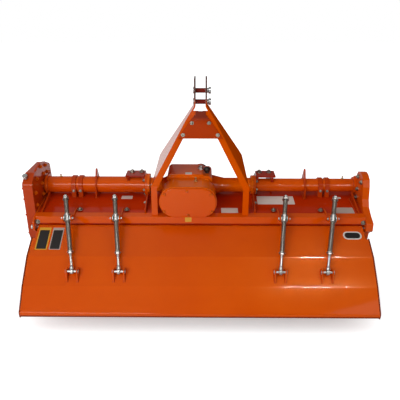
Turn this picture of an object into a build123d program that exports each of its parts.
from build123d import *
import math
import os

# ---------------------------------------------------------------------------
# Rotavator: a tractor-mounted rotary tiller of six feet working width.
# X runs to the right seen from behind, Y forwards to the tractor, Z up.
# Z = 0 is the ground under the skids; X = 0 is the machine's centre line.
# ---------------------------------------------------------------------------

# Cross tube, which everything hangs on
tube_y = 164.7
tube_z = 540.0
drive_tube_r = 45.5
support_tube_r = 36.5
tube_wall = 7.0
tube_joint_x = 296.0
tube_flange_t = 14.0
tube_flange_rim = 17.0

# Hood and side plates
hood_half = 868.0
sheet_t = 5.0
side_t = 8.0
rail_y = tube_y - 259.0
rail_top_z = 457.0
rail_height = 38.0
rail_t = 6.0
hinge_y = rail_y + 11.0
hinge_z = 392.0
hinge_pin_r = 6.5
knuckle_r = 9.0
hood_ridge_y = 55.0
hood_ridge_z = 494.0
hood_front_y = 175.0
hood_front_z = 440.0
hood_skirt_y = 250.0
hood_skirt_z = 330.0
hood_low_z = 285.0
rail_lap = 40.0
rail_rise = 6.0
fit_gap = 0.3

# Rotor
rotor_y = tube_y - 10.0
rotor_z = 225.0
rotor_gap = 18.0
rotor_half = hood_half - rotor_gap
rotor_tube_r = 42.0
tip_r = 219.0
flange_r = 112.0
flange_t = 10.0
flange_count = 7
tines_per_flange = 6
tine_t = 8.0
tine_reach = 120.0

# Gear case on the left, bearing plate on the right
case_inner_x = -(hood_half + side_t)
case_depth = 49.0
case_outer_x = case_inner_x - case_depth
cover_t = 9.0

# Flap (trailing board)
flap_half = hood_half + 7.0
flap_t = 5.0

# Spring rods
rod_r = 7.0
trunnion_y = tube_y - 300.0
trunnion_z = 467.0
rod_pin_y = tube_y - 515.0
rod_pin_z = 277.0
rod_table = (
    # number, X at the trunnion, X at the flap pin
    (1, -686.0, -629.0),
    (2, -435.0, -398.0),
    (3, 435.0, 398.0),
    (4, 686.0, 629.0),
)
spring_r = 12.5
washer_r = 16.0
washer_t = 4.0
lower_spring_len = 167.0
upper_spring_len = 87.0
block_r = 15.0
spring_seat = 20.0
block_len = 34.0

# Mast (top link frame)
ear_half_gap = 26.7
ear_t = 8.0
mast_t = 8.0
mast_strip = 32.0
mast_knee_x = 254.0
mast_knee_z = 618.0
ear_top_z = 1126.0
ear_height = 145.0
ear_bend_z = ear_top_z - ear_height
mast_rear_bend_z = ear_bend_z - 76.0
cross_plate_top_z = ear_bend_z - 24.0
cross_plate_half = 120.0
cross_plate_low_z = ear_bend_z - 155.0
mast_foot_y = rail_y + 12.0
mast_front_y = tube_y + 303.0
top_pin_y = tube_y + 62.0
top_pin_down = 68.0
top_pin_pitch = 60.4
top_pin_zs = (ear_top_z - top_pin_down, ear_top_z - top_pin_down - top_pin_pitch)
top_pin_r = 12.7

# Lower hitch
hitch_x = 359.25
hitch_half = 47.25
hitch_cap_over = 6.0
hitch_cap_t = 10.0
hitch_cap_depth = 90.0
hitch_cap_z = 597.0
hitch_plate_t = 12.0
lower_pin_y = tube_y + 215.0
lower_pin_z = 448.0
lower_pin_r = 14.1
lower_pin_len = 95.0

# Gearbox
cover_mid_x = -62.0
cover_half = 145.0
cover_low_z = 462.0
cover_high_z = 622.0
cover_rear_y = tube_y - 277.0
box_front_y = tube_y + 120.0
cover_corner = 75.0
chamber_front_y = tube_y - 133.0
bevel_left_x = -180.0
bevel_step_x = 25.0
bevel_right_x = 64.0
bevel_top_z = 641.0
bevel_step = 11.0
bevel_low_z = 480.0
bevel_rear_y = tube_y - 112.0
bevel_front_y = tube_y + 62.0
nose_r = 52.0
trumpet_r = 62.0
trumpet_neck_r = 40.0
input_z = 560.0
cover_plate_t = 13.0
cover_edge_r = 5.0
chamber_rim = 4.0
chamber_rim_t = 9.0
bevel_corner = 22.0
nose_ring = 12.0
nose_ring_t = 16.0
nose_rib_t = 9.0
nose_rib_xs = (-140.0, -100.0)
trumpet_taper = 0.35
guard_wall = 4.0
guard_gap = 2.0
guard_len = 70.0
spline_r = 17.45
spline_root_r = 14.9

# Ribs, gussets and clamps on the hood
rib_x = 288.0
rib_t = 8.0
spike_x = 578.0
spike_top_z = 634.0
gusset_x = hood_half - 28.0
clamp_xs = (658.0, 696.0)
clamp_width = 24.0
clamp_t = 7.0

# Ends
bearing_flange_r = 80.0
bearing_flange_t = 16.0
bearing_r = 56.0
bearing_len = 50.0
bearing_cap_t = 8.0
stub_r = 28.0
stub_end = hood_half + side_t + 20.0
end_collar = 11.0
end_flange_t = 12.0
case_flange_corner = 30.0
rim_t = 8.0
rim_depth = 28.0
end_corner = 12.0
case_cover_inset = 12.0
case_cover_edge_r = 4.0
case_corner = 30.0

# Skids
skid_width = case_depth - 3.0
skid_t = 9.0

# Small parts of the spring rods
block_pin_r = 6.0
ear_sheet_t = 6.0
rod_pin_r = 6.0
ear_boss_r = 16.0
eye_r = 14.0
eye_len = 14.0
eye_play = 3.0
flap_ear_gap = 46.0
hinge_pin_half = hood_half + side_t + 22.0
hinge_head_r = 12.0
hinge_head_t = 8.0
knuckle_len = 60.0
knuckle_xs = (-780.0, -400.0, 0.0, 400.0, 780.0)
hood_lug_xs = (-590.0, -200.0, 200.0, 590.0)

# Mast and hitch details
mast_low_z = 440.0
cross_plate_t = 6.0
shoulder_t = 6.0

# Rotor details
flange_edge = 30.0
tine_root = 60.0
tine_stagger = 17.0

# Input shaft
shaft_r = 20.0
shaft_seat = 34.0
spline_count = 6
spline_gap = 9.6
spline_len = 95.0

end_low_z = 95.0

# Outlines in the side view: Y from the cross tube, Z from the ground
end_outline = (
    (60, 560), (20, 590), (-13, 600), (-40, 636), (-75, 645), (-105, 641), (-138, 623), (-154, 585),
    (-165, 520), (-186, 482), (-240, 452), (-286, 434), (-288, 390), (-235, 355),
    (-215, 250), (-190, 95), (180, 95), (235, 220), (262, 285), (180, 450), (100, 520),
)
end_outline_left = (
    (-196, 466), (-262, 453), (-290, 436), (-290, 390), (-235, 355), (-215, 250), (-190, 95),
    (180, 95), (235, 220), (262, 285), (180, 450), (58, 497), (0, 490),
)
case_outline = (
    (-222, 625), (-160, 664), (40, 660), (110, 630), (140, 420), (120, 95), (-130, 95), (-222, 330),
)
case_flange_outline = (
    (-206, 462), (-206, 598), (-128, 668), (-45, 686), (38, 664), (92, 590), (92, 470), (0, 430),
    (-150, 430),
)
mast_outline = (
    (-245, 450), (-245, 622), (12, mast_rear_bend_z), (12, ear_top_z), (112, ear_top_z),
    (112, ear_bend_z), (303, 650), (303, 500), (180, 500), (130, 590), (-110, 590), (-190, 478), (-190, 450),
)
mast_rear_edge = (
    (-245, 450), (-245, 622), (12, mast_rear_bend_z), (12, cross_plate_top_z),
)
hitch_outline = (
    (-30, 570), (-30, 594), (66, 592), (130, 556), (248, 478), (250, 420), (214, 414),
    (176, 428), (120, 440), (4, 440), (4, 500),
)
# The inner ear of a spring rod's bracket runs over the rail to the hood; the outer one is low
inner_ear_outline = (
    (-308, 452), (-316, 470), (-300, 483), (-284, 478), (-262, 466), (-215, 474), (-172, 470),
    (-172, 440), (-262, 440),
)
outer_ear_outline = (
    (-306, 450), (-316, 468), (-300, 483), (-287, 478), (-282, 462), (-274, 452), (-262, 448),
    (-250, 446), (-250, 428), (-285, 436),
)
bracket_foot = (-212, -170)
bracket_foot_width = 44.0
bracket_foot_t = 6.0
hood_lug_outline = (
    (-248.5, 446), (-248.5, 428), (-242, 420), (-242, 403), (-248, 398), (-248, 385), (-234, 388),
    (-234, 430), (-240, 446),
)
flap_web_outline = (
    (-255.6, 403.2), (-262.2, 399.8), (-256, 387.8), (-248, 392), (-251.7, 395.7),
)
flap_line = ((-257, 407), (-432, 315), (-545, 211.5), (-638, 104.6), (-626, 92))
flap_ear_top = ((-503, 292), (-528, 272))
flap_ear_foot = (-478, -532)

# Outline of a tine seen along the rotor, from its bolted root at the top to its curved foot
tine_outline = (
    (-26, 60), (-30, 120), (-34, 200), (-38, 223), (30, 223), (26, 200), (30, 120), (26, 60),
)

os.makedirs("parts", exist_ok=True)


def save(piece, name):
    piece.part.label = name
    export_step(piece.part, f"parts/{name}.step")


def at_tube(y):
    """Y of a point given from the cross tube's axis."""
    return tube_y + y


def moved(outline):
    """A side-view outline placed on the cross tube's axis."""
    return [(at_tube(y), z) for y, z in outline]


def hood_top(y):
    """Height of the hood's sloping top sheet."""
    back = rail_y + rail_t
    front = at_tube(hood_ridge_y)
    low = rail_top_z - rail_t
    return low + (hood_ridge_z - low) * (y - back) / (front - back)


def on_hood(y):
    """A point just clear of the hood's top sheet, Y given from the cross tube's axis."""
    return (at_tube(y), hood_top(at_tube(y)) + fit_gap)


def on_flap(y):
    """A point just clear of the flap's upper panel, Y given from the cross tube's axis."""
    (back, high), (low_y, low_z) = flap_line[1:3]
    return (at_tube(y), high + (low_z - high) * (y - back) / (low_y - back) + fit_gap)


# Space the hood's sheet and rail take up; what stands on the hood is trimmed by it
with BuildPart() as hood_space:
    with BuildSketch(Plane.YZ.offset(-hood_half - 1)):
        with BuildLine():
            Polyline(
                (rail_y - fit_gap, end_low_z),
                (rail_y - fit_gap, rail_top_z + fit_gap),
                (rail_y + rail_lap, rail_top_z + rail_rise + fit_gap),
                on_hood(hood_ridge_y),
                (at_tube(hood_front_y), hood_front_z + fit_gap),
                (at_tube(hood_skirt_y) + fit_gap, hood_skirt_z),
                (at_tube(hood_skirt_y) + fit_gap, end_low_z),
                close=True,
            )
        make_face()
    extrude(amount=2 * hood_half + 2)


# ---------------------------------------------------------------- gearbox
with BuildPart() as gearbox_housing:
    # rear gear chamber behind the rear cover, its corners as round as the cover's
    with BuildSketch(Plane.XZ.offset(-chamber_front_y)):
        with Locations((cover_mid_x, (cover_low_z + cover_high_z) / 2)):
            RectangleRounded(2 * cover_half, cover_high_z - cover_low_z, cover_corner)
    extrude(amount=chamber_front_y - (cover_rear_y + cover_plate_t))
    # rim that the cover is bolted to
    with BuildSketch(Plane.XZ.offset(-(cover_rear_y + cover_plate_t + chamber_rim_t))):
        with Locations((cover_mid_x, (cover_low_z + cover_high_z) / 2)):
            RectangleRounded(
                2 * (cover_half + chamber_rim),
                cover_high_z - cover_low_z + 2 * chamber_rim,
                cover_corner + chamber_rim,
            )
    extrude(amount=chamber_rim_t)
    # bevel box around the cross tube, lower on the right, drawn in behind to meet the chamber
    for left, right, top in (
        (bevel_left_x, bevel_step_x, bevel_top_z),
        (bevel_step_x - nose_r, bevel_right_x, bevel_top_z - bevel_step),
    ):
        with BuildSketch(Plane.XZ.offset(-bevel_front_y)):
            with Locations(((left + right) / 2, (bevel_low_z + top) / 2)):
                RectangleRounded(right - left, top - bevel_low_z, bevel_corner)
        extrude(amount=bevel_front_y - bevel_rear_y)
    with BuildSketch(Plane.XZ.offset(-bevel_rear_y)):
        with Locations(((bevel_left_x + bevel_right_x) / 2, (bevel_low_z + cover_high_z) / 2)):
            RectangleRounded(
                bevel_right_x - bevel_left_x - bevel_corner,
                cover_high_z - bevel_low_z,
                bevel_corner,
            )
    extrude(amount=bevel_rear_y - chamber_front_y)
    # input bearing nose in front, with a ring for the guard
    for front, radius in ((box_front_y, nose_r), (bevel_front_y + nose_ring_t, nose_r + nose_ring)):
        with BuildSketch(Plane.XZ.offset(-front)):
            with Locations((0, input_z)):
                Circle(radius)
        extrude(amount=front - bevel_front_y + fit_gap)
    # upright cast ribs on the bevel box's front face
    for x in nose_rib_xs:
        with BuildSketch(Plane.YZ.offset(x - nose_rib_t / 2)):
            with BuildLine():
                Polyline(
                    (bevel_front_y - 2, bevel_low_z + bevel_corner),
                    (bevel_front_y + nose_ring_t, bevel_low_z + 2 * bevel_corner),
                    (bevel_front_y + nose_ring_t, input_z + nose_r - bevel_corner),
                    (bevel_front_y - 2, input_z + nose_r),
                    close=True,
                )
            make_face()
        extrude(amount=nose_rib_t)
    # cast trumpets out to the tube flanges
    for x0, x1, rim_r in (
        (bevel_left_x + 20, -tube_joint_x, drive_tube_r + tube_flange_rim),
        (bevel_right_x - 20, tube_joint_x, support_tube_r + tube_flange_rim),
    ):
        neck_x = x0 + (x1 - x0) * trumpet_taper
        with BuildSketch(Plane.YZ.offset(x0)):
            with Locations((tube_y, tube_z)):
                Circle(trumpet_r)
        with BuildSketch(Plane.YZ.offset(neck_x)):
            with Locations((tube_y, tube_z)):
                Circle(trumpet_neck_r)
        loft()
        with BuildSketch(Plane.YZ.offset(neck_x)):
            with Locations((tube_y, tube_z)):
                Circle(trumpet_neck_r)
        extrude(amount=x1 - neck_x)
        with BuildSketch(Plane.YZ.offset(x1)):
            with Locations((tube_y, tube_z)):
                Circle(rim_r)
        extrude(amount=-tube_flange_t if x1 > 0 else tube_flange_t)
    add(hood_space.part, mode=Mode.SUBTRACT)
    # seat of the input shaft
    with BuildSketch(Plane.XZ.offset(-box_front_y)):
        with Locations((0, input_z)):
            Circle(shaft_r + fit_gap)
    extrude(amount=shaft_seat, mode=Mode.SUBTRACT)
save(gearbox_housing, "gearbox_housing")

with BuildPart() as gearbox_rear_cover:
    with BuildSketch(Plane.XZ.offset(-(cover_rear_y + cover_plate_t))):
        with Locations((cover_mid_x, (cover_low_z + cover_high_z) / 2)):
            RectangleRounded(2 * cover_half, cover_high_z - cover_low_z, cover_corner)
    extrude(amount=cover_plate_t)
    fillet(gearbox_rear_cover.faces().sort_by(Axis.Y)[0].edges(), cover_edge_r)
save(gearbox_rear_cover, "gearbox_rear_cover")

with BuildPart() as input_guard:
    with BuildSketch(Plane.XZ.offset(-(box_front_y))):
        with Locations((0, input_z)):
            Circle(nose_r - guard_gap)
            Circle(nose_r - guard_gap - guard_wall, mode=Mode.SUBTRACT)
    extrude(amount=-guard_len)
save(input_guard, "input_guard")

# ---------------------------------------------------------------- cross tubes
for name, side, radius, end_x in (
    ("drive_tube_left", -1, drive_tube_r, hood_half + side_t),
    ("support_tube_right", 1, support_tube_r, hood_half),
):
    with BuildPart() as tube:
        with BuildSketch(Plane.YZ.offset(side * tube_joint_x)):
            with Locations((tube_y, tube_z)):
                Circle(radius)
                Circle(radius - tube_wall, mode=Mode.SUBTRACT)
        extrude(amount=side * (end_x - tube_joint_x))
        with BuildSketch(Plane.YZ.offset(side * tube_joint_x)):
            with Locations((tube_y, tube_z)):
                Circle(radius + tube_flange_rim)
        extrude(amount=side * tube_flange_t)
        with BuildSketch(Plane.YZ.offset(side * hood_half)):
            with Locations((tube_y, tube_z)):
                Circle(radius + end_collar)
        extrude(amount=-side * end_flange_t)
        add(hood_space.part, mode=Mode.SUBTRACT)
    save(tube, name)

# ---------------------------------------------------------------- hood
with BuildPart() as hood_shell:
    with BuildSketch(Plane.YZ.offset(-hood_half)):
        with BuildLine():
            FilletPolyline(
                (rail_y + rail_t, rail_top_z - rail_height + 4),
                (rail_y + rail_t, rail_top_z - rail_t),
                (at_tube(hood_ridge_y), hood_ridge_z),
                (at_tube(hood_front_y), hood_front_z),
                (at_tube(hood_skirt_y), hood_skirt_z),
                (at_tube(hood_skirt_y) + 5, hood_low_z),
                radius=10,
            )
            offset(amount=sheet_t, side=Side.RIGHT)
        make_face()
    extrude(amount=2 * hood_half)
    # lugs under the rear edge that carry the flap's hinge pin, hidden by the rail
    for x in hood_lug_xs:
        with BuildSketch(Plane.YZ.offset(x - knuckle_len / 2)):
            with BuildLine():
                Polyline(*moved(hood_lug_outline), close=True)
            make_face()
            with Locations((hinge_y, hinge_z)):
                Circle(knuckle_r)
                Circle(hinge_pin_r + fit_gap, mode=Mode.SUBTRACT)
        extrude(amount=knuckle_len)
save(hood_shell, "hood_shell")

with BuildPart() as hood_rear_rail:
    with BuildSketch(Plane.YZ.offset(-hood_half)):
        with BuildLine():
            Polyline(
                (rail_y, rail_top_z - rail_height),
                (rail_y, rail_top_z),
                (rail_y + rail_lap, rail_top_z + rail_rise),
            )
            offset(amount=rail_t, side=Side.RIGHT)
        make_face()
    extrude(amount=2 * hood_half)
save(hood_rear_rail, "hood_rear_rail")


# ---------------------------------------------------------------- ribs and gussets on the hood
with BuildPart() as hood_ribs:
    for side, radius in ((-1, drive_tube_r), (1, support_tube_r)):
        # upright rib beside the gearbox, from the tube back to the rail
        with BuildSketch(Plane.YZ.offset(side * rib_x)):
            with BuildLine():
                Polyline(
                    on_hood(-215),
                    on_hood(-60),
                    (at_tube(-60), tube_z - 20),
                    (at_tube(-90), tube_z - 26),
                    (at_tube(-215), rail_top_z + 24),
                    close=True,
                )
            make_face()
        extrude(amount=side * rib_t)
        # pointed rib standing over the tube
        with BuildSketch(Plane.YZ.offset(side * spike_x)):
            with BuildLine():
                Polyline(
                    on_hood(-60),
                    on_hood(44),
                    (at_tube(60), tube_z + 10),
                    (at_tube(8), spike_top_z),
                    (at_tube(-8), spike_top_z),
                    (at_tube(-62), tube_z - 10),
                    close=True,
                )
            make_face()
            with Locations((tube_y, tube_z)):
                Circle(radius + fit_gap, mode=Mode.SUBTRACT)
        extrude(amount=side * rib_t)
        # upright gusset in the outer corner
        with BuildSketch(Plane.YZ.offset(side * gusset_x)):
            with BuildLine():
                Polyline(
                    on_hood(-216),
                    on_hood(-50),
                    (at_tube(-50), tube_z - 26),
                    (at_tube(-216), hood_top(at_tube(-216)) + 9),
                    close=True,
                )
            make_face()
        extrude(amount=side * rib_t)
save(hood_ribs, "hood_ribs")

# ---------------------------------------------------------------- side plates
for name, side, outline in (
    ("side_plate_left", -1, end_outline_left),
    ("side_plate_right", 1, end_outline),
):
    with BuildPart() as plate:
        with BuildSketch(Plane.YZ.offset(side * hood_half)):
            with BuildLine():
                Polyline(*moved(outline), close=True)
            make_face()
            fillet(vertices(), end_corner)
            with Locations((rotor_y, rotor_z)):
                Circle(stub_r + fit_gap, mode=Mode.SUBTRACT)
            with Locations((hinge_y, hinge_z)):
                Circle(hinge_pin_r + fit_gap, mode=Mode.SUBTRACT)
        extrude(amount=side * side_t)
        if side > 0:
            # turned rim round the outer plate
            with BuildSketch(Plane.YZ.offset(hood_half + side_t)):
                with BuildLine():
                    Polyline(*moved(outline), close=True)
                make_face()
                fillet(vertices(), end_corner)
                offset(amount=-rim_t, mode=Mode.SUBTRACT)
                with Locations((hinge_y, hinge_z)):
                    Circle(hinge_pin_r + fit_gap, mode=Mode.SUBTRACT)
            extrude(amount=rim_depth)
    save(plate, name)

with BuildPart() as gear_case_left:
    with BuildSketch(Plane.YZ.offset(case_inner_x)):
        with BuildLine():
            Polyline(*moved(case_outline), close=True)
        make_face()
        fillet(vertices(), case_corner)
        with Locations((rotor_y, rotor_z)):
            Circle(stub_r + fit_gap, mode=Mode.SUBTRACT)
    extrude(amount=case_outer_x - case_inner_x)
    # the drive flange is let into the case's inner face
    with BuildSketch(Plane.YZ.offset(case_inner_x)):
        with BuildLine():
            Polyline(*moved(case_flange_outline), close=True)
        make_face()
        fillet(vertices(), case_flange_corner)
        offset(amount=fit_gap)
    extrude(amount=-end_flange_t, mode=Mode.SUBTRACT)
save(gear_case_left, "gear_case_left")

with BuildPart() as gear_case_cover:
    with BuildSketch(Plane.YZ.offset(case_outer_x)):
        with BuildLine():
            Polyline(*moved(case_outline), close=True)
        make_face()
        fillet(vertices(), case_corner)
        offset(amount=-case_cover_inset, mode=Mode.REPLACE)
    extrude(amount=-cover_t)
    fillet(gear_case_cover.faces().sort_by(Axis.X)[0].edges(), case_cover_edge_r)
save(gear_case_cover, "gear_case_cover")

with BuildPart() as gear_case_flange:
    with BuildSketch(Plane.YZ.offset(case_inner_x)):
        with BuildLine():
            Polyline(*moved(case_flange_outline), close=True)
        make_face()
        fillet(vertices(), case_flange_corner)
    extrude(amount=-end_flange_t)
save(gear_case_flange, "gear_case_flange")

with BuildPart() as rotor_bearing_right:
    with BuildSketch(Plane.YZ.offset(hood_half + side_t)):
        with Locations((rotor_y, rotor_z)):
            Circle(bearing_flange_r)
            Circle(stub_r + fit_gap, mode=Mode.SUBTRACT)
    extrude(amount=bearing_flange_t)
    with BuildSketch(Plane.YZ.offset(hood_half + side_t)):
        with Locations((rotor_y, rotor_z)):
            Circle(bearing_r)
            Circle(stub_r + fit_gap, mode=Mode.SUBTRACT)
    extrude(amount=bearing_len)
    with BuildSketch(Plane.YZ.offset(hood_half + side_t + bearing_len)):
        with Locations((rotor_y, rotor_z)):
            Circle(bearing_r)
    extrude(amount=bearing_cap_t)
save(rotor_bearing_right, "rotor_bearing_right")

# ---------------------------------------------------------------- skids
for name, inner_x, outer_x in (
    ("skid_left", case_inner_x, case_inner_x - skid_width),
    ("skid_right", hood_half + side_t, hood_half + side_t + skid_width),
):
    low_x = min(inner_x, outer_x)
    with BuildPart() as skid:
        with BuildSketch(Plane.YZ.offset(low_x)):
            with BuildLine():
                FilletPolyline(
                    (at_tube(-265), 92),
                    (at_tube(-215), 0),
                    (at_tube(190), 0),
                    (at_tube(262), 120),
                    radius=45,
                )
                offset(amount=skid_t, side=Side.LEFT)
            make_face()
        extrude(amount=skid_width)
        # uprights from the sole to the end of the machine
        for y in (-70, 70):
            with BuildSketch(Plane.XY.offset(skid_t - 1)):
                with Locations((low_x + skid_width / 2, at_tube(y))):
                    Rectangle(10, 44)
            extrude(amount=end_low_z - skid_t + 1)
    save(skid, name)

# ---------------------------------------------------------------- mast
for name, side in (("mast_side_left", -1), ("mast_side_right", 1)):
    bend_line = [
        (side * (ear_half_gap + ear_t), ear_top_z + 1),
        (side * (ear_half_gap + ear_t), ear_bend_z),
        (side * mast_knee_x, mast_knee_z),
        (side * mast_knee_x, mast_low_z),
    ]
    # turned-in strip along the sheet's rear edge
    with BuildPart() as strip:
        with BuildSketch(Plane.XZ.offset(-mast_front_y)):
            with BuildLine():
                Polyline(*bend_line)
                offset(amount=mast_strip, side=Side.RIGHT if side > 0 else Side.LEFT)
            make_face()
        extrude(amount=mast_front_y - mast_foot_y)
        with BuildSketch(Plane.YZ.offset(-mast_knee_x - 1)):
            with BuildLine():
                Polyline(*moved(mast_rear_edge))
                offset(amount=mast_t, side=Side.RIGHT)
            make_face()
        extrude(amount=2 * mast_knee_x + 2, mode=Mode.INTERSECT)
    # bent side sheet: the front view's bent strip cut to the side view's outline
    with BuildPart() as mast_side:
        with BuildSketch(Plane.XZ.offset(-mast_front_y)):
            with BuildLine():
                FilletPolyline(*bend_line, radius=14)
                offset(amount=ear_t, side=Side.RIGHT if side > 0 else Side.LEFT)
            make_face()
        extrude(amount=mast_front_y - mast_foot_y)
        with BuildSketch(Plane.YZ.offset(-mast_knee_x - 1)):
            with BuildLine():
                Polyline(*moved(mast_outline), close=True)
            make_face()
        extrude(amount=2 * mast_knee_x + 2, mode=Mode.INTERSECT)
        add(strip.part)
        add(hood_space.part, mode=Mode.SUBTRACT)
        for z in top_pin_zs:
            with BuildSketch(Plane.YZ.offset(side * (ear_half_gap - 1))):
                with Locations((top_pin_y, z)):
                    Circle(top_pin_r + fit_gap)
            extrude(amount=side * (ear_t + 2), mode=Mode.SUBTRACT)
    save(mast_side, name)

with BuildPart() as mast_cross_plate:
    with BuildSketch(Plane.XZ.offset(-mast_front_y)):
        with BuildLine():
            Polyline(
                (-ear_half_gap, cross_plate_top_z + 5),
                (ear_half_gap, cross_plate_top_z + 5),
                (ear_half_gap, cross_plate_top_z - 17),
                (cross_plate_half, cross_plate_low_z),
                (-cross_plate_half, cross_plate_low_z),
                (-ear_half_gap, cross_plate_top_z - 17),
                close=True,
            )
        make_face()
    extrude(amount=mast_front_y - mast_foot_y + 20)
    with BuildSketch(Plane.YZ.offset(-200)):
        with BuildLine():
            Polyline(*moved(mast_rear_edge))
            offset(amount=cross_plate_t, side=Side.LEFT)
        make_face()
    extrude(amount=400, mode=Mode.INTERSECT)
save(mast_cross_plate, "mast_cross_plate")

with BuildPart() as top_link_pins:
    for z in top_pin_zs:
        with Locations(Location((0, top_pin_y, z), (0, 90, 0))):
            Cylinder(top_pin_r, 2 * (ear_half_gap + ear_t) + 12)
        with Locations(Location((ear_half_gap + ear_t + 6 + 8, top_pin_y, z), (0, 90, 0))):
            Cylinder(top_pin_r + 5, 16)
save(top_link_pins, "top_link_pins")

# ---------------------------------------------------------------- lower hitch
for name, side, radius in (
    ("hitch_bracket_left", -1, drive_tube_r),
    ("hitch_bracket_right", 1, support_tube_r),
):
    with BuildPart() as bracket:
        for x in (hitch_x - hitch_half, hitch_x + hitch_half - hitch_plate_t):
            with BuildSketch(Plane.YZ.offset(side * x)):
                with BuildLine():
                    Polyline(*moved(hitch_outline), close=True)
                make_face()
                with Locations((tube_y, tube_z)):
                    Circle(radius + fit_gap, mode=Mode.SUBTRACT)
                with Locations((lower_pin_y, lower_pin_z)):
                    Circle(lower_pin_r + fit_gap, mode=Mode.SUBTRACT)
            extrude(amount=side * hitch_plate_t)
        add(hood_space.part, mode=Mode.SUBTRACT)
        # cap across the two plates, over the tube
        with Locations((side * (hitch_x + hitch_cap_over), at_tube(18), hitch_cap_z)):
            Box(2 * (hitch_half + hitch_cap_over), hitch_cap_depth, hitch_cap_t)
    save(bracket, name)

for name, side in (("lower_pin_left", -1), ("lower_pin_right", 1)):
    inner = hitch_x - hitch_half - 6
    shoulder = hitch_x + hitch_half
    with BuildPart() as pin:
        with BuildSketch(Plane.YZ.offset(side * inner)):
            with Locations((lower_pin_y, lower_pin_z)):
                Circle(lower_pin_r)
        extrude(amount=side * (shoulder + shoulder_t + lower_pin_len - inner))
        with BuildSketch(Plane.YZ.offset(side * (shoulder + fit_gap))):
            with Locations((lower_pin_y, lower_pin_z)):
                Circle(lower_pin_r + 9)
        extrude(amount=side * (shoulder_t - fit_gap))
    save(pin, name)

# ---------------------------------------------------------------- tube clamps
with BuildPart() as tube_clamps:
    for side, radius in ((-1, drive_tube_r), (1, support_tube_r)):
        for x in clamp_xs:
            with BuildSketch(Plane.YZ.offset(side * x)):
                with Locations((tube_y, tube_z)):
                    Circle(radius + clamp_t)
                with BuildLine():
                    Polyline(
                        on_hood(-radius - clamp_t),
                        on_hood(radius + clamp_t - 8),
                        (tube_y + radius + clamp_t, tube_z),
                        (tube_y - radius - clamp_t, tube_z),
                        close=True,
                    )
                make_face()
                with Locations((tube_y, tube_z)):
                    Circle(radius + fit_gap, mode=Mode.SUBTRACT)
            extrude(amount=side * clamp_width)
save(tube_clamps, "tube_clamps")

# ---------------------------------------------------------------- spring rod brackets on the hood
with BuildPart() as spring_brackets:
    for number, top_x, low_x in rod_table:
        inward = -1 if top_x > 0 else 1
        for side, outline in ((inward, inner_ear_outline), (-inward, outer_ear_outline)):
            ear_x = top_x + side * (block_len / 2 + 1)
            with BuildSketch(Plane.YZ.offset(ear_x)):
                with BuildLine():
                    Polyline(*moved(outline), close=True)
                make_face()
                with Locations((trunnion_y, trunnion_z)):
                    Circle(ear_boss_r)
                    Circle(block_pin_r + fit_gap, mode=Mode.SUBTRACT)
            extrude(amount=side * ear_sheet_t)
        # foot turned inwards from the inner ear, bolted to the hood
        with BuildSketch(Plane.YZ.offset(top_x + inward * (block_len / 2 + 1))):
            with BuildLine():
                Polyline(*[on_hood(y) for y in bracket_foot])
                offset(amount=bracket_foot_t, side=Side.LEFT)
            make_face()
        extrude(amount=inward * bracket_foot_width)
    add(hood_space.part, mode=Mode.SUBTRACT)
save(spring_brackets, "spring_brackets")

with BuildPart() as flap_hinge_pin:
    with BuildSketch(Plane.YZ.offset(-hinge_pin_half)):
        with Locations((hinge_y, hinge_z)):
            Circle(hinge_pin_r)
    extrude(amount=2 * hinge_pin_half)
    for x in (-hinge_pin_half, hinge_pin_half - hinge_head_t):
        with BuildSketch(Plane.YZ.offset(x)):
            with Locations((hinge_y, hinge_z)):
                Circle(hinge_head_r)
        extrude(amount=hinge_head_t)
save(flap_hinge_pin, "flap_hinge_pin")

# ---------------------------------------------------------------- flap
with BuildPart() as flap_sheet:
    with BuildSketch(Plane.YZ.offset(-flap_half)):
        with BuildLine():
            FilletPolyline(*moved(flap_line), radius=16)
            offset(amount=flap_t, side=Side.LEFT)
        make_face()
    extrude(amount=2 * flap_half)
    # upper corners cut back to clear the side plates
    for side in (-1, 1):
        with Locations((side * (flap_half - 8), hinge_y - 20, hinge_z - 40)):
            Box(22, 130, 120, mode=Mode.SUBTRACT)
    # knuckles on webs under the upper edge, round the hinge pin
    for x in knuckle_xs:
        with BuildSketch(Plane.YZ.offset(x - knuckle_len / 2)):
            with BuildLine():
                Polyline(*moved(flap_web_outline), close=True)
            make_face()
            with Locations((hinge_y, hinge_z)):
                Circle(knuckle_r)
                Circle(hinge_pin_r + fit_gap, mode=Mode.SUBTRACT)
        extrude(amount=knuckle_len)
save(flap_sheet, "flap_sheet")

with BuildPart() as flap_brackets:
    for number, top_x, low_x in rod_table:
        for side in (-1, 1):
            with BuildSketch(Plane.YZ.offset(low_x + side * flap_ear_gap / 2)):
                with BuildLine():
                    Polyline(
                        on_flap(flap_ear_foot[0]),
                        *moved(flap_ear_top),
                        on_flap(flap_ear_foot[1]),
                        close=True,
                    )
                make_face()
                with Locations((rod_pin_y, rod_pin_z)):
                    Circle(13)
                    Circle(rod_pin_r + fit_gap, mode=Mode.SUBTRACT)
            extrude(amount=side * ear_sheet_t)
save(flap_brackets, "flap_brackets")

with BuildPart() as flap_rod_pins:
    for number, top_x, low_x in rod_table:
        with Locations(Location((low_x, rod_pin_y, rod_pin_z), (0, 90, 0))):
            Cylinder(rod_pin_r, flap_ear_gap + 2 * ear_sheet_t + 8)
save(flap_rod_pins, "flap_rod_pins")

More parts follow.
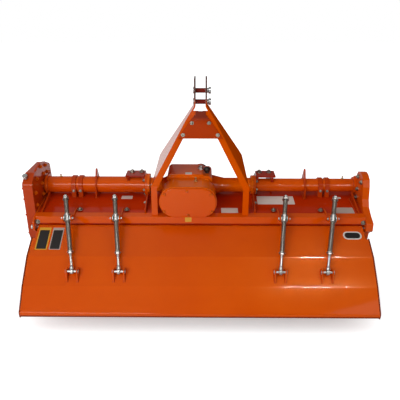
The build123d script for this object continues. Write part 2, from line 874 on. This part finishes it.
# ---------------------------------------------------------------- spring rods
for number, top_x, low_x in rod_table:
    eye = Vector(low_x, rod_pin_y, rod_pin_z)
    swivel = Vector(top_x, trunnion_y, trunnion_z)
    along = (swivel - eye).normalized()
    reach = (swivel - eye).length
    rod_plane = Plane(origin=eye, x_dir=(1, 0, 0), z_dir=along)
    spring_foot = reach - spring_seat - lower_spring_len
    spring_head = reach + spring_seat + upper_spring_len
    with BuildPart() as rod:
        with BuildSketch(rod_plane.offset(11)):
            Circle(rod_r)
        extrude(amount=spring_head + 34 - 11)
        for low, radius, thick in (
            (spring_foot - washer_t, washer_r, washer_t),
            (spring_foot - washer_t - 10, rod_r + 4, 10),
            (spring_head, washer_r, washer_t),
            (spring_head + washer_t, rod_r + 5, 14),
        ):
            with BuildSketch(rod_plane.offset(low)):
                Circle(radius)
            extrude(amount=thick)
        with Locations(Location(eye, (0, 90, 0))):
            Cylinder(eye_r, eye_len)
            Cylinder(rod_pin_r + eye_play, eye_len, mode=Mode.SUBTRACT)
    save(rod, f"spring_rod_{number}")
    with BuildPart() as lower_spring:
        with BuildSketch(rod_plane.offset(spring_foot)):
            Circle(spring_r)
            Circle(rod_r + 1.2, mode=Mode.SUBTRACT)
        extrude(amount=lower_spring_len)
    save(lower_spring, f"lower_spring_{number}")

with BuildPart() as trunnion_blocks:
    for number, top_x, low_x in rod_table:
        swivel = Vector(top_x, trunnion_y, trunnion_z)
        along = (swivel - Vector(low_x, rod_pin_y, rod_pin_z)).normalized()
        with Locations(Location(swivel, (0, 90, 0))):
            Cylinder(block_r, block_len)
            Cylinder(block_pin_r, block_len + 2 * ear_sheet_t + 10)
        with BuildSketch(Plane(origin=swivel, z_dir=along).offset(-30)):
            Circle(rod_r + fit_gap)
        extrude(amount=60, mode=Mode.SUBTRACT)
save(trunnion_blocks, "trunnion_blocks")

with BuildPart() as upper_springs:
    for number, top_x, low_x in rod_table:
        swivel = Vector(top_x, trunnion_y, trunnion_z)
        along = (swivel - Vector(low_x, rod_pin_y, rod_pin_z)).normalized()
        with BuildSketch(Plane(origin=swivel, z_dir=along).offset(spring_seat)):
            Circle(spring_r)
            Circle(rod_r + 1.2, mode=Mode.SUBTRACT)
        extrude(amount=upper_spring_len)
save(upper_springs, "upper_springs")

# ---------------------------------------------------------------- rotor
flange_pitch = 2 * (rotor_half - flange_edge) / (flange_count - 1)
flange_xs = [-(rotor_half - flange_edge) + i * flange_pitch for i in range(flange_count)]

with BuildPart() as rotor_shaft:
    with BuildSketch(Plane.YZ.offset(-rotor_half)):
        with Locations((rotor_y, rotor_z)):
            Circle(rotor_tube_r)
    extrude(amount=2 * rotor_half)
    for x in flange_xs:
        with BuildSketch(Plane.YZ.offset(x - flange_t / 2)):
            with Locations((rotor_y, rotor_z)):
                Circle(flange_r)
        extrude(amount=flange_t)
    with BuildSketch(Plane.YZ.offset(-stub_end)):
        with Locations((rotor_y, rotor_z)):
            Circle(stub_r)
    extrude(amount=2 * stub_end)
save(rotor_shaft, "rotor_shaft")


def tine(side):
    """One L-shaped tine bolted to the side of a flange at the top, its foot turned outwards."""
    start = side * flange_t / 2
    with BuildPart() as blade:
        with BuildSketch(Plane.XZ.offset(-40)):
            with BuildLine():
                FilletPolyline(
                    (start, tine_root),
                    (start, tip_r),
                    (start + side * tine_reach, tip_r),
                    radius=18,
                )
                offset(amount=tine_t, side=Side.RIGHT if side > 0 else Side.LEFT)
            make_face()
        extrude(amount=80)
        with BuildSketch(Plane.YZ.offset(-200)):
            with BuildLine():
                Polyline(*tine_outline, close=True)
            make_face()
        extrude(amount=400, mode=Mode.INTERSECT)
    return blade.part


tines = {side: tine(side) for side in (-1, 1)}
for i, x in enumerate(flange_xs):
    with BuildPart() as tine_set:
        for k in range(tines_per_flange):
            side = 1 if k % 2 else -1
            if i == 0:
                side = 1
            if i == flange_count - 1:
                side = -1
            angle = k * 360 / tines_per_flange + i * tine_stagger
            with Locations(Location((x, rotor_y, rotor_z), (angle, 0, 0))):
                add(tines[side])
    save(tine_set, f"tine_set_{i + 1}")

# ---------------------------------------------------------------- input shaft
with BuildPart() as input_shaft:
    with BuildSketch(Plane.XZ.offset(-(box_front_y - shaft_seat + 1))):
        with Locations((0, input_z)):
            Circle(shaft_r)
    extrude(amount=-shaft_seat)
    with BuildSketch(Plane.XZ.offset(-box_front_y)):
        with Locations((0, input_z)):
            Circle(spline_r)
            with PolarLocations(spline_r, spline_count):
                Rectangle(2 * (spline_r - spline_root_r), spline_gap, mode=Mode.SUBTRACT)
    extrude(amount=-spline_len)
save(input_shaft, "input_shaft")
